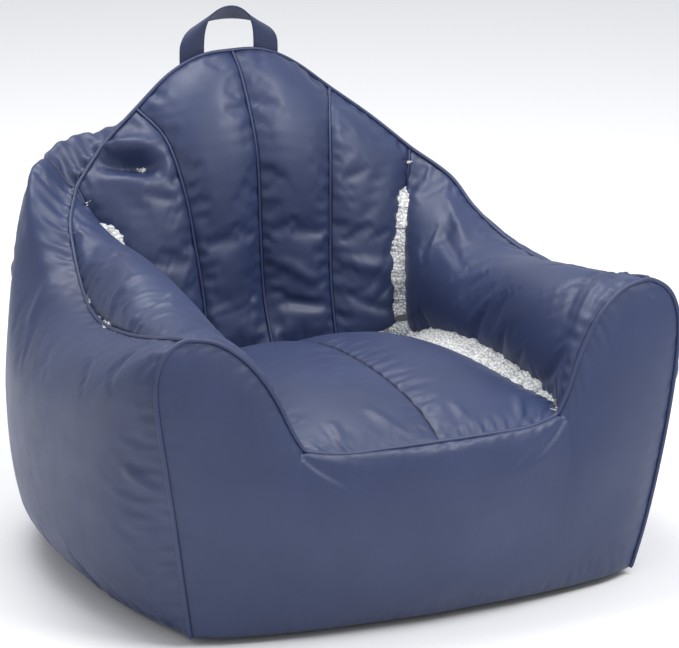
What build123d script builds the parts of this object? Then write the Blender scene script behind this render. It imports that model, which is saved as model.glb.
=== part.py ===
"""Bean bag armchair: a bead-filled cover with arms, a fan-channelled back and a carry handle.

Frame: millimetres, +Z up, origin on the floor at the centre of the chair's bounding box.
The sitter faces -Y, and X runs from side to side.
"""
from build123d import *
import os
from math import cos, pi, sin, tan

# ---------------------------------------------------------------- driving dimensions (mm)
RIM_CREST = 636.0          # height of the back's rim at the centre
RIM_DROP = 0.0394          # the rim falls by RIM_DROP * x ** 1.5 to either side
ARM_TOP = 434.0            # height of the arms
ARM_CREST_X = 335.0        # where the arm's top begins to roll outwards
ARM_ROLL = (70.0, 94.0)    # half-axes of the outward roll of the arm
FRONT_BELLY = 57.0         # how far the front panel's middle stands ahead of its corners
BOW_STEPS = (-0.88, -0.6, -0.3, 0, 0.3, 0.6, 0.88)  # where the bow has its points, in half widths
FRONT_CORNER = ((9, 19), (1, 78))  # two points of each front corner: in from the side, behind the bow's end
TOP_SLOPE = 0.62           # the back's top falls forwards by this much per mm
COVER = 3.0                # cover cloth with its backing
FILL_INSET = 6.5           # the bead filling starts this far inside the outer face
PIPING_R = 3.0             # radius of the corded piping
WELT_R = 2.6               # radius of the corded welts between the back's channels
WELT_PROUD = 1.5           # the welts stand this far ahead of the back's face
WELT_FOOT = 234.0          # height where the welts start, at the seat's rear
GAP = 0.3                  # clearance between separate pieces
FAR = 640.0                # cutting shapes reach this far

# outer body: height, half width, front at the middle, rear at the middle
OUTER = (
    (0.0, 352.0, -362.0, 345.0),
    (26.0, 384.0, -376.0, 366.0),
    (110.0, 403.0, -379.5, 378.5),
    (250.0, 411.0, -379.5, 379.5),
    (400.0, 405.0, -372.0, 379.0),
    (490.0, 388.0, -360.0, 368.0),
    (570.0, 352.0, -350.0, 350.0),
    (660.0, 292.0, -340.0, 326.0),
    (720.0, 250.0, -335.0, 305.0),
)
REAR_POWER = 2.7           # squareness of the body's rear in plan
REAR_CENTRE = -100.0       # where the side starts to turn into the rear

# bucket between the arms: height, half width, rear at the middle; the seat's line is (y, z)
BUCKET = (
    (150.0, 176.0, 142.0),
    (236.0, 199.0, 184.0),
    (308.0, 214.0, 221.0),
    (370.0, 243.0, 227.0),
    (405.0, 276.0, 230.0),
    (432.0, 334.0, 232.0),
    (460.0, 392.0, 234.0),
    (505.0, 430.0, 240.0),
    (565.0, 450.0, 266.0),
    (620.0, 462.0, 307.0),
    (760.0, 480.0, 420.0),
)
BUCKET_POWER = 3.2
BUCKET_CENTRE = -20.0
SEAT_LINE = ((-640, 255), (-377, 267), (-200, 293), (-20, 292), (110, 262), (190, 222), (300, 160))

# seams: x at the fan's foot and at the rim for seams 0, 1 and 2 from the middle; seam 0 stands
# a hair off the middle, because a cut exactly along the body's own middle line fails
FAN_X = ((0.03, 0.03), (100.0, 180.0), (200.0, 300.0))
FAN_Z = (210.0, 640.0)
BACK_FROM_Y = 110.0        # the back's channels begin behind this plane
RIM_SEAM = (7.0, 30.0)     # the rim seam's distance inside the body: at the rear, at the sides
SEAT_EDGE = (194.0, 158.0, 300.0)  # half width, rear and upper limits of the seat panels
FRONT_SEAM = ((0, -368), (100, -364), (190, -354), (300, -335), (420, -310))  # plan of the front seam
REAR_SEAM_X = 262.0        # the side panels meet the rear panels here

# inner baffles that keep the filling of the base, arms and back apart
BAFFLE_Z, BAFFLE_X, BAFFLE_Y = 206.0, 206.0, 151.0
BAFFLE_T = 1.6

# refill zip in the rear centre seam
ZIP_Z = (95.0, 385.0)
ZIP_Y = 372.5              # inner face of its tapes
ZIP_SLOT = 5.6             # half width of the slot that shows the zip
TAPE = (13.0, 1.2)         # width and thickness of each tape
COIL = (3.0, 3.8)          # half width and height of the closed coil
SLIDER = (4.8, 14.0, 2.0)  # half width, length and plate thickness
STOP_LENGTH = 2.4
SLIDER_GAP = 0.4           # clearance between the slider and the coil and tapes

# carry handle
WEBBING = (38.0, 2.4)      # webbing width and thickness
HANDLE_X = 57.5            # each leg from the middle
HANDLE_PIVOT = (338.0, 632.0)
HANDLE_TOP = 702.0
ROOT_LENGTH = 24.0
ROOT_DROP = 1.6            # the sewn-in ends stop this far under the hinge line
TACK_DROPS = (6.5, 12.5)   # each row of thread starts this far under the hinge line
TACK = (0.7, 2.2)          # depth and height of a row of thread
LOOP_POWER = 0.6           # how squarely the loop rises
LOOP_OUTER = 0.64          # the outer edge rises by this share of the inner edge's rise
LOOP_LEAN = (3.0, 26.0)    # the inner edge's lean forwards, the outer edge's to the rear


# ---------------------------------------------------------------- curves and levels
def super_point(half_width, centre_y, rear_y, power, angle):
    """A point of a squared half ellipse; angle 0 is at the right side, pi / 2 at the rear."""
    across = abs(cos(angle)) ** (2 / power) * (1 if cos(angle) > 0 else -1)
    return half_width * across, centre_y + (rear_y - centre_y) * abs(sin(angle)) ** (2 / power)


def super_arc(half_width, centre_y, rear_y, power, steps):
    """Points of a squared half ellipse, from the right side round the rear to the left."""
    return [super_point(half_width, centre_y, rear_y, power, pi * k / steps) for k in range(steps + 1)]


def super_y(x, half_width, centre_y, rear_y, power):
    """Where the squared half ellipse lies over x."""
    across = min(abs(x) / half_width, 1)
    return centre_y + (rear_y - centre_y) * (1 - across ** power) ** (1 / power)


def between(levels, height):
    """The listed sizes at a height, joined by straight lines."""
    for low, high in zip(levels, levels[1:]):
        if height <= high[0]:
            part = (height - low[0]) / (high[0] - low[0])
            return [a + part * (b - a) for a, b in zip(low[1:], high[1:])]
    return list(levels[-1][1:])


def rim_height(x):
    """Height of the back's rim over x."""
    return RIM_CREST - RIM_DROP * abs(x) ** 1.5


def rim_y(x):
    """Where the rim lies from front to rear: on the body's rear face."""
    half, _, rear = between(OUTER, rim_height(x))
    return super_y(x, half, REAR_CENTRE, rear, REAR_POWER)


def fan_x(seam, z):
    """Where a seam between the back's channels is at a height; seams run from -2 to 2."""
    foot, top = FAN_X[abs(seam)]
    x = foot + (top - foot) * (z - FAN_Z[0]) / (FAN_Z[1] - FAN_Z[0])
    return x if seam > 0 else -x


def back_face_y(x, z):
    """The back's front face: the bucket's rear, or the top that falls forwards from the rim."""
    half, rear = between(BUCKET, z)
    slope_y = rim_y(x) - (rim_height(x) - z) / TOP_SLOPE
    return max(super_y(x, half, BUCKET_CENTRE, rear, BUCKET_POWER), slope_y)


def top_z(x, y):
    """Height of the arms or of the back's top over a point."""
    out = min(max(abs(x) - ARM_CREST_X, 0) / ARM_ROLL[0], 1)
    arm = ARM_TOP - ARM_ROLL[1] * (1 - (1 - out ** 2) ** 0.5)
    return max(arm, rim_height(x) - TOP_SLOPE * (rim_y(x) - y))


# ---------------------------------------------------------------- solids of the whole bag
def outer_section(level, inset):
    """Plan outline of the body: a gently bowed front, tight front corners and a round rear."""
    height, half, front, rear = level
    half, front, rear = half - inset, front + inset, rear - inset
    height = max(height, inset)
    bow = [(half * k, front + FRONT_BELLY * k * k) for k in BOW_STEPS]
    corner, side = [(half - back[0], front + FRONT_BELLY + back[1]) for back in FRONT_CORNER]
    outline = bow + [corner, side] + super_arc(half, REAR_CENTRE, rear, REAR_POWER, 14)
    outline += [(-side[0], side[1]), (-corner[0], corner[1])]
    return Wire([Edge.make_spline([(x, y, height) for x, y in outline], periodic=True)])


def body(inset):
    """The bag's outer form, before its top and bucket are cut."""
    return Solid.make_loft([outer_section(level, inset) for level in OUTER])


def back_block(inset):
    """Everything under the rim's arch, with a top that falls forwards from the rim."""
    crown = []
    for step in range(-8, 9):
        x = step * 42.0
        reach = TOP_SLOPE * (HANDLE_PIVOT[0] - rim_y(x))
        crown.append((x, rim_height(x) + reach - inset * 1.25))
    ends = Polyline(crown[-1], (crown[-1][0], -FAR), (crown[0][0], -FAR), crown[0])
    face = Plane.XZ.offset(-HANDLE_PIVOT[0]) * make_face(Spline(*crown) + ends)
    forwards = extrude(face, amount=FAR, dir=(0, -1, -TOP_SLOPE))
    rearwards = extrude(face, amount=FAR / 4, dir=(0, 1, TOP_SLOPE))
    return forwards + rearwards


def arm_block(inset):
    """Everything under the arms' height, rolled over at the outside."""
    low = ARM_TOP - ARM_ROLL[1]
    across, rise = ARM_ROLL[0] - inset, ARM_ROLL[1] - inset
    turns = [pi / 2 * step / 5 for step in range(6)]
    roll = [(ARM_CREST_X + across * cos(a), low + rise * sin(a)) for a in turns]
    right = Spline(*roll, tangents=[(0, 1), (-1, 0)])
    left = Spline(*[(-x, z) for x, z in roll], tangents=[(0, 1), (1, 0)])
    x, z = roll[0]
    skirt = Polyline((-x, z), (-FAR, z - 60), (-FAR, -50), (FAR, -50), (FAR, z - 60), (x, z))
    crest = Line(roll[-1], (-ARM_CREST_X, roll[-1][1]))
    return extrude(Plane.XZ * make_face(right + crest + left + skirt), amount=FAR, both=True)


def tops(inset):
    """Everything under the arms' tops and the back's rim."""
    return arm_block(inset) + back_block(inset)


def bucket_section(level, inset):
    """Plan outline of the bucket, open to the front."""
    height, half, rear = level
    half, rear = half + inset, rear + inset
    arc = [(x, y, height) for x, y in super_arc(half, BUCKET_CENTRE, rear, BUCKET_POWER, 12)]
    start, end = (half, -FAR, height), (-half, -FAR, height)
    return Wire([
        Edge.make_line(end, start),
        Edge.make_line(start, arc[0]),
        Edge.make_spline(arc, tangents=[(0, 1, 0), (0, -1, 0)]),
        Edge.make_line(arc[-1], end),
    ])


def above_seat(inset):
    """Everything above the seat's crowned surface."""
    line = [(y, z - inset) for y, z in SEAT_LINE]
    outline = Spline(*line) + Polyline(line[-1], (700, line[-1][1]), (700, 900), (line[0][0], 900), line[0])
    return extrude(Plane.YZ * make_face(outline), amount=FAR, both=True)


def bucket(inset):
    """The space that the sitter fills, grown by the inset."""
    return Solid.make_loft([bucket_section(level, inset) for level in BUCKET]) & above_seat(inset)


def bag(inset):
    """The whole bag, smaller all round by the inset."""
    return (body(inset) & tops(inset)) - bucket(inset)


def block(low, high):
    """A box between two corners."""
    size = [b - a for a, b in zip(low, high)]
    return Pos(*[(a + b) / 2 for a, b in zip(low, high)]) * Box(*size)


# ---------------------------------------------------------------- corded edges
def rim_plan():
    """Plan points of the rim seam's right half: round the rear, then forwards along the arm."""
    points = []
    for step in range(11):
        height = ARM_TOP
        for _ in range(4):
            half, _, rear = between(OUTER, height)
            x, y = super_point(half - RIM_SEAM[1], REAR_CENTRE, rear - RIM_SEAM[0], REAR_POWER,
                               pi / 2 * (1 - step / 10))
            height = top_z(x, y)
        points.append((x, y))
    return points + [(points[-1][0], -210.0), (points[-1][0] - 1.0, front_seam_y(points[-1][0]) + 6)]


def front_seam_y(x):
    """Where the front seam lies over x."""
    for (x_a, y_a), (x_b, y_b) in zip(FRONT_SEAM, FRONT_SEAM[1:]):
        if abs(x) <= x_b:
            return y_a + (y_b - y_a) * (abs(x) - x_a) / (x_b - x_a)
    return FRONT_SEAM[-1][1]


def rim_path():
    """The seam from one arm's front, round the rim, to the other arm's front."""
    half_path = [(x, y, top_z(x, y)) for x, y in rim_plan()]
    return [(-x, y, z) for x, y, z in reversed(half_path[1:])] + half_path


def front_path():
    """The seam round the front panel, from one lower corner over both arms to the other."""
    rise = [(between(OUTER, z)[0] - 1.5, z) for z in (14, 60, 130, 220, 310, 365)]
    over = [(388, 404), (368, 421), (342, 431), (312, 424), (281, 407), (250, 375), (222, 318),
            (196, 272), (130, 268), (50, 268)]
    half_path = [(x, front_seam_y(x) - 1, z) for x, z in rise + over]
    return half_path + [(-x, y, z) for x, y, z in reversed(half_path)]


def welt_path(seam):
    """A seam between two channels, from the seat's rear up to the rim."""
    top = RIM_CREST - 14
    while rim_height(fan_x(seam, top)) - 14 < top:
        top -= 2
    levels = [WELT_FOOT + (top - WELT_FOOT) * step / 6 for step in range(7)]
    return [welt_point(seam, z) for z in levels]


def welt_point(seam, z):
    """A point of a seam between two channels; the outer seams go no further forwards than the channels."""
    x, side = abs(fan_x(seam, z)), 1 if seam > 0 else -1
    y = back_face_y(x, z)
    if y < BACK_FROM_Y:
        y = BACK_FROM_Y
        half, rear = between(BUCKET, z)
        depth = (y - BUCKET_CENTRE) / (rear - BUCKET_CENTRE)
        x = half * (1 - depth ** BUCKET_POWER) ** (1 / BUCKET_POWER)
    return side * x, y - WELT_PROUD, z


def tube(points, radius):
    """A round cord through points: straight runs joined by arcs as large as the runs allow."""
    corners = [Vector(*p) for p in points]
    radii = []
    for before, here, after in zip(corners, corners[1:], corners[2:]):
        turn = (here - before).get_angle(after - here) * pi / 180
        run = min((here - before).length, (after - here).length)
        radii.append(0.45 * run / tan(turn / 2))
    path = FilletPolyline(*corners, radius=radii)
    return sweep(Plane(path @ 0, z_dir=path % 0) * Circle(radius), path=path)


# ---------------------------------------------------------------- cover panels
def prism(plan, low, high):
    """An upright prism over a plan outline."""
    return extrude(Plane.XY.offset(low) * make_face(Polyline(*plan, close=True)), amount=high - low)


def wedge(first, last):
    """What lies between two of the back's seams, behind the seat."""
    low, high = 100.0, 800.0
    corners = [(fan_x(first, low), low), (fan_x(last, low), low), (fan_x(last, high), high),
               (fan_x(first, high), high)]
    return extrude(Plane.XZ.offset(-BACK_FROM_Y) * make_face(Polyline(*corners, close=True)), amount=-FAR)


def half_space(side):
    """Everything on one side of the chair's middle."""
    low, high = (-FAR, 0) if side == "left" else (0, FAR)
    return block((low, -FAR, 0), (high, FAR, FAR * 1.2))


def cover_panels():
    """The cover cut along its seams into panels."""
    skin = bag(0) - bag(COVER)
    seam = [(-x, y) for x, y in reversed(FRONT_SEAM[1:])] + list(FRONT_SEAM)
    front_zone = prism(seam + [(FAR, -FAR), (-FAR, -FAR)], COVER, FAR)
    floor_slab = block((-FAR, -FAR, 0), (FAR, FAR, COVER))
    panels = {"bottom_panel": skin & floor_slab, "front_panel": skin & front_zone}
    rest = skin - floor_slab - front_zone

    right = rim_plan()
    right[-1] = (right[-1][0], -FAR)
    rim_zone = prism(right + [(-x, y) for x, y in reversed(right[1:])], 100, FAR * 1.2)
    outer, inner = rest - rim_zone, rest & rim_zone

    seat_zone = block((-SEAT_EDGE[0], -FAR, 0), (SEAT_EDGE[0], SEAT_EDGE[1], SEAT_EDGE[2]))
    seat, bowl = inner & seat_zone, inner - seat_zone
    for first, name in zip(range(-2, 2), ("outer_left", "inner_left", "inner_right", "outer_right")):
        panels[f"back_channel_{name}"] = bowl & wedge(first, first + 1)
    arms = bowl - wedge(-2, 2)

    rear_zone = block((-REAR_SEAM_X, 0, 0), (REAR_SEAM_X, FAR, FAR))
    slot = block((-ZIP_SLOT, 0, ZIP_Z[0] - 5), (ZIP_SLOT, FAR, ZIP_Z[1] + 5))
    sides, rear = outer - rear_zone, (outer & rear_zone) - slot
    for side in ("left", "right"):
        for name, ring in (("seat", seat), ("arm", arms), ("side", sides), ("rear", rear)):
            panels[f"{side}_{name}_panel"] = ring & half_space(side)

    roots = handle_roots(GAP)
    for name in panels:
        if "rear" in name or "channel" in name:
            panels[name] -= roots
    return panels


# ---------------------------------------------------------------- filling and baffles
def chambers():
    """The bead filling of the base, back and arms, and the baffles between them."""
    beads = bag(FILL_INSET)
    beads -= block((-TAPE[0] - 8, ZIP_Y - 4, ZIP_Z[0] - 8), (TAPE[0] + 8, FAR, ZIP_Z[1] + 8))
    beads -= handle_roots(1.0)
    half = BAFFLE_T / 2
    upper = block((-FAR, -FAR, BAFFLE_Z + half), (FAR, FAR, FAR))
    back_part = block((-FAR, BAFFLE_Y + half, 0), (FAR, FAR, FAR))
    front_part = block((-FAR, -FAR, 0), (FAR, BAFFLE_Y - half, FAR))
    centre = block((half - BAFFLE_X, -FAR, 0), (BAFFLE_X - half, BAFFLE_Y - half, FAR))
    lower = block((-FAR, -FAR, 0), (FAR, FAR, BAFFLE_Z - half))
    pieces = {"base_filling": beads & (lower + centre), "back_filling": beads & upper & back_part}
    level = block((-FAR, -FAR, BAFFLE_Z - half), (FAR, FAR, BAFFLE_Z + half))
    pieces["level_baffle"] = (beads & level) - centre
    pieces["back_baffle"] = beads & upper & block((-FAR, BAFFLE_Y - half, 0), (FAR, BAFFLE_Y + half, FAR))
    for side, sign in (("left", -1), ("right", 1)):
        wall = sorted((sign * (BAFFLE_X - half), sign * (BAFFLE_X + half)))
        arm = sorted((sign * (BAFFLE_X + half), sign * FAR))
        chamber = beads & upper & front_part
        pieces[f"{side}_arm_filling"] = chamber & block((arm[0], -FAR, 0), (arm[1], FAR, FAR))
        pieces[f"{side}_arm_baffle"] = chamber & block((wall[0], -FAR, 0), (wall[1], FAR, FAR))
    return pieces


# ---------------------------------------------------------------- refill zip
def zip_pieces():
    """Two tapes, the closed coil, its end stops and the slider, which starts at the top."""
    low, high = ZIP_Z
    pieces = {}
    for side, sign in (("left", -1), ("right", 1)):
        near, far = sorted((sign * (COIL[0] + GAP), sign * (COIL[0] + GAP + TAPE[0])))
        pieces[f"zip_tape_{side}"] = block((near, ZIP_Y, low - 5), (far, ZIP_Y + TAPE[1], high + 5))
    pieces["zip_coil"] = block((-COIL[0], ZIP_Y, low), (COIL[0], ZIP_Y + COIL[1], high))
    stops = [block((-COIL[0], ZIP_Y, z), (COIL[0], ZIP_Y + COIL[1], z + STOP_LENGTH))
             for z in (low - STOP_LENGTH - GAP, high + GAP)]
    pieces["zip_stops"] = Compound(children=stops)
    half, length, plate = SLIDER
    face = ZIP_Y + COIL[1] + SLIDER_GAP
    slider = block((-half, face, high - length), (half, face + plate, high))
    for sign in (-1, 1):
        near, far = sorted((sign * (COIL[0] + 0.5), sign * half))
        slider += block((near, ZIP_Y + TAPE[1] + SLIDER_GAP, high - length), (far, face, high))
    pieces["zip_slider"] = slider
    return pieces


# ---------------------------------------------------------------- carry handle
def handle_roots(grown):
    """The two ends of the webbing, sewn upright into the rim seam."""
    half, thick = WEBBING[0] / 2 + grown, WEBBING[1] / 2 + grown
    y, z = HANDLE_PIVOT
    top = z - ROOT_DROP
    legs = [block((x - half, y - thick, top - ROOT_LENGTH - grown), (x + half, y + thick, top + grown))
            for x in (-HANDLE_X, HANDLE_X)]
    return Compound(children=legs)


def bar_tacks():
    """Close rows of thread that hold each end of the webbing, on its rear face."""
    y = HANDLE_PIVOT[0] + WEBBING[1] / 2
    half = WEBBING[0] / 2 - 4
    depth, height = TACK
    starts = [(x, HANDLE_PIVOT[1] - drop) for x in (-HANDLE_X, HANDLE_X) for drop in TACK_DROPS]
    rows = [block((x - half, y, z), (x + half, y + depth, z + height)) for x, z in starts]
    return Compound(children=rows)


def handle_edges(angle):
    """The two edges of the twisted webbing loop at an angle round it."""
    y, z = HANDLE_PIVOT
    lift = (HANDLE_TOP - z) * max(sin(angle), 0) ** LOOP_POWER
    inner = Vector((HANDLE_X - WEBBING[0] / 2) * cos(angle), y - LOOP_LEAN[0] * sin(angle), z + lift)
    outer = Vector((HANDLE_X + WEBBING[0] / 2) * cos(angle), y + LOOP_LEAN[1] * sin(angle) ** 2,
                   z + LOOP_OUTER * lift)
    return inner, outer


def carry_handle():
    """The webbing loop: it stands upright and turns over by a quarter at each corner."""
    steps = 16
    sections = []
    for step in range(steps + 1):
        angle = pi * step / steps
        inner, outer = handle_edges(angle)
        ahead = handle_edges(min(angle + 0.02, pi))
        behind = handle_edges(max(angle - 0.02, 0))
        along = (ahead[0] + ahead[1]) - (behind[0] + behind[1])
        off = along.cross(outer - inner).normalized() * (WEBBING[1] / 2)
        sections.append(Wire.make_polygon([inner + off, outer + off, outer - off, inner - off]))
    return Solid.make_loft(sections, ruled=True)


# ---------------------------------------------------------------- assembly
def build():
    """All pieces by name."""
    paths = {"rim_piping": (rim_path(), PIPING_R), "front_piping": (front_path(), PIPING_R)}
    seams = ("far_left", "left", "centre", "right", "far_right")
    for seam, name in zip(range(-2, 3), seams):
        paths[f"back_welt_{name}"] = (welt_path(seam), WELT_R)
    pieces = {name: tube(points, radius) for name, (points, radius) in paths.items()}
    pieces["rim_piping"] -= handle_roots(GAP)
    pieces.update(cover_panels())
    pieces.update(chambers())
    pieces.update(zip_pieces())
    pieces["handle_roots"] = handle_roots(0)
    pieces["handle_bar_tacks"] = bar_tacks()
    pieces["carry_handle"] = carry_handle()
    return pieces


if __name__ == "__main__":
    os.makedirs("parts", exist_ok=True)
    for name, piece in build().items():
        export_step(piece, f"parts/{name}.step")
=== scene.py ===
"""A bead-filled bag armchair: cover panels blown up over their seams, corded edges, zip and handle."""

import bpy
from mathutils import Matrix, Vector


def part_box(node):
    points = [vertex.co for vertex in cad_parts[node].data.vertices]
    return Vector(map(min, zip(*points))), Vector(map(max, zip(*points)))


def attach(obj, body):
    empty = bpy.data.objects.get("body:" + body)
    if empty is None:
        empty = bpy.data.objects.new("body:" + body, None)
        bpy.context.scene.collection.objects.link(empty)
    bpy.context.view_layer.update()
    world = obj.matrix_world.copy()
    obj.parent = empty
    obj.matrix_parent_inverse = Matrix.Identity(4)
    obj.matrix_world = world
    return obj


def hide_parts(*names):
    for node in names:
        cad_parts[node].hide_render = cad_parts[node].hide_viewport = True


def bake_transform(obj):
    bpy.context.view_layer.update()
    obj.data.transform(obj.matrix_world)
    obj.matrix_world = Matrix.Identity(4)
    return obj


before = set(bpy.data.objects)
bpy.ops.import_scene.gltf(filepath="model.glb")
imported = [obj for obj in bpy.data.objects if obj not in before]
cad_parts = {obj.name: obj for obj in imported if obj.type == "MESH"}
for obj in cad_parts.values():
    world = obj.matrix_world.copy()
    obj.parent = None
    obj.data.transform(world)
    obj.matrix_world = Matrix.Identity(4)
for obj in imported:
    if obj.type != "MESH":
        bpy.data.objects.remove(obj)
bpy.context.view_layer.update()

import logging
from dataclasses import dataclass, field
from enum import Enum

import bmesh
import bpy
import numpy as np
from mathutils import Vector

LOG = logging.getLogger("bean_bag_chair")
Array = np.ndarray
Point = tuple[float, float, float]
Colour = tuple[float, float, float]

# Cells along each kind of seam; seams that face each other across a panel share a number.
CELLS_CHANNEL = 16      # across one back channel
CELLS_BACK = 46         # up the back, and round the inside of an arm's front
CELLS_ARM = 74          # along the rim from the back to the arm's front, and along the seat
CELLS_HEIGHT = 52       # from the floor to the rim
CELLS_BASE = 12         # from the floor seam to the middle of the base
FLOOR_SEAM_Z = 0.012
MIRROR = np.array([-1.0, 1.0, 1.0])


class Panel(Enum):
    """The cover's cut pieces; a pair has the side's name before or after its own."""

    FRONT = "front_panel"
    SEAT = "{}_seat_panel"
    CHANNEL_INNER = "back_channel_inner_{}"
    CHANNEL_OUTER = "back_channel_outer_{}"
    ARM = "{}_arm_panel"
    SIDE = "{}_side_panel"
    REAR = "{}_rear_panel"
    BASE = "bottom_panel"

    def on(self, side: str) -> str:
        """The name of the left or right one."""
        return self.value.format(side)


class Body(Enum):
    """The bodies of the frame that pieces ride on."""

    CHAIR = "chair"
    HANDLE = "handle"
    SLIDER = "slider"


# ---------------------------------------------------------------- curves and surfaces
def smooth_curve(points: list[tuple[float, float, float]], cells: int) -> Array:
    """A curve through points, sampled at even steps of its length.

    Each span is a cubic whose end slopes are the chords between the neighbouring points
    (Catmull-Rom), so the curve passes through every point without corners.

    Args:
        points: the points to pass through, in metres.
        cells: how many steps to cut it into.

    Returns:
        An array of cells + 1 points.
    """
    p = np.array(points, float)
    knots = np.r_[0.0, np.cumsum(np.sqrt(np.linalg.norm(np.diff(p, axis=0), axis=1)))]
    slopes = np.gradient(p, knots, axis=0)
    t = np.linspace(0.0, knots[-1], 40 * len(p))
    span = np.clip(np.searchsorted(knots, t, side="right") - 1, 0, len(p) - 2)
    width = (knots[span + 1] - knots[span])[:, None]
    s = (t[:, None] - knots[span][:, None]) / width
    fine = ((2 * s**3 - 3 * s**2 + 1) * p[span] + (s**3 - 2 * s**2 + s) * width * slopes[span]
            + (3 * s**2 - 2 * s**3) * p[span + 1] + (s**3 - s**2) * width * slopes[span + 1])
    return even_steps(fine, cells)


def even_steps(line: Array, cells: int) -> Array:
    """A polyline resampled at even steps of its length.

    Args:
        line: the points of the polyline.
        cells: how many steps to cut it into.

    Returns:
        An array of cells + 1 points.
    """
    reach = np.r_[0.0, np.cumsum(np.linalg.norm(np.diff(line, axis=0), axis=1))]
    at = np.linspace(0.0, reach[-1], cells + 1)
    return np.stack([np.interp(at, reach, line[:, k]) for k in range(3)], axis=1)


def coons(low: Array, high: Array, left: Array, right: Array) -> Array:
    """A surface spanned by four curves (a Coons patch).

    The point at (u, v) is the blend of low and high at u, plus the blend of left and right at v,
    less the blend of the four corners, so every edge follows its curve.

    Args:
        low: the edge at v = 0, running with u.
        high: the edge at v = 1, running with u.
        left: the edge at u = 0, running with v.
        right: the edge at u = 1, running with v.

    Returns:
        An array of (v, u, 3) points.
    """
    u = np.linspace(0, 1, len(low))[None, :, None]
    v = np.linspace(0, 1, len(left))[:, None, None]
    rows = (1 - v) * low[None] + v * high[None]
    columns = (1 - u) * left[:, None] + u * right[:, None]
    corners = ((1 - u) * (1 - v) * low[0] + u * (1 - v) * low[-1]
               + (1 - u) * v * high[0] + u * v * high[-1])
    return rows + columns - corners


def grid_normals(grid: Array) -> Array:
    """Unit normals of a grid of points: the cross product of its two gradients."""
    normal = np.cross(np.gradient(grid, axis=1), np.gradient(grid, axis=0))
    return normal / np.maximum(np.linalg.norm(normal, axis=2, keepdims=True), 1e-12)


def puff(grid: Array, height: float, power: float = 0.6) -> Array:
    """Swells a patch along its normals, by nothing at its edges and by height at its middle."""
    v = np.linspace(0, 1, grid.shape[0])[:, None]
    u = np.linspace(0, 1, grid.shape[1])[None, :]
    swell = height * (16 * u * (1 - u) * v * (1 - v)) ** power
    return grid + grid_normals(grid) * swell[:, :, None]


def grid_faces(rows: int, columns: int) -> Array:
    """Four corner indices of each cell of a grid with that many points each way."""
    index = np.arange(rows * columns).reshape(rows, columns)
    return np.stack([index[:-1, :-1], index[:-1, 1:], index[1:, 1:], index[1:, :-1]], axis=-1).reshape(-1, 4)


def doubled(grid: Array, axis: int) -> Array:
    """A grid with a point added halfway along every cell of one axis.

    The new point is nine sixteenths of each neighbour less one sixteenth of the next ones
    out, which keeps curved rows curved and gives both panels at a seam the same points.

    Args:
        grid: (rows, columns, 3) points.
        axis: 0 to add rows, 1 to add columns.

    Returns:
        The finer grid.
    """
    line = np.moveaxis(grid, axis, 0)
    padded = np.concatenate([[2 * line[0] - line[1]], line, [2 * line[-1] - line[-2]]])
    middle = (9 * (padded[1:-2] + padded[2:-1]) - padded[:-3] - padded[3:]) / 16
    fine = np.empty((2 * len(line) - 1,) + line.shape[1:])
    fine[::2], fine[1::2] = line, middle
    return np.moveaxis(fine, 0, axis)


def lengths(grid: Array, axis: int) -> Array:
    """How far along the cloth each point of a grid is from the grid's first point on that axis."""
    steps = np.linalg.norm(np.diff(grid, axis=axis), axis=2)
    start = np.zeros_like(np.take(steps, [0], axis=axis))
    return np.concatenate([start, np.cumsum(steps, axis=axis)], axis=axis)


def vertex_normals(points: Array, faces: Array) -> Array:
    """Unit normals of a skin's points: the sum of the crossed diagonals of the cells around each."""
    corners = points[faces]
    normal = np.cross(corners[:, 2] - corners[:, 0], corners[:, 3] - corners[:, 1])
    total = np.zeros_like(points)
    for corner in range(4):
        np.add.at(total, faces[:, corner], normal)
    return total / np.maximum(np.linalg.norm(total, axis=1, keepdims=True), 1e-12)


def new_object(name: str, points: Array, faces: Array, uv: Array | None = None,
               values: dict[str, Array] | None = None) -> bpy.types.Object:
    """A smooth mesh object at the origin, in the scene.

    Args:
        name: the piece's name.
        points: (n, 3) places in metres.
        faces: (m, 4) or (m, 3) corner indices; a repeated corner is dropped.
        uv: (n, 2) places on the flat cloth, in metres.
        values: numbers for the material, one for each point, by attribute name.

    Returns:
        The new object.
    """
    mesh = bpy.data.meshes.new(name)
    mesh.from_pydata(points.tolist(), [], [list(dict.fromkeys(face)) for face in faces.tolist()])
    mesh.polygons.foreach_set("use_smooth", np.ones(len(mesh.polygons), bool))
    if uv is not None:
        corners = np.empty(len(mesh.loops), np.int32)
        mesh.loops.foreach_get("vertex_index", corners)
        mesh.uv_layers.new(name="cloth").data.foreach_set("uv", uv[corners].ravel())
    for attribute, numbers in (values or {}).items():
        mesh.attributes.new(attribute, "FLOAT", "POINT").data.foreach_set("value", numbers.ravel())
    mesh.update()
    piece = bpy.data.objects.new(name, mesh)
    bpy.context.scene.collection.objects.link(piece)
    return piece


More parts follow.
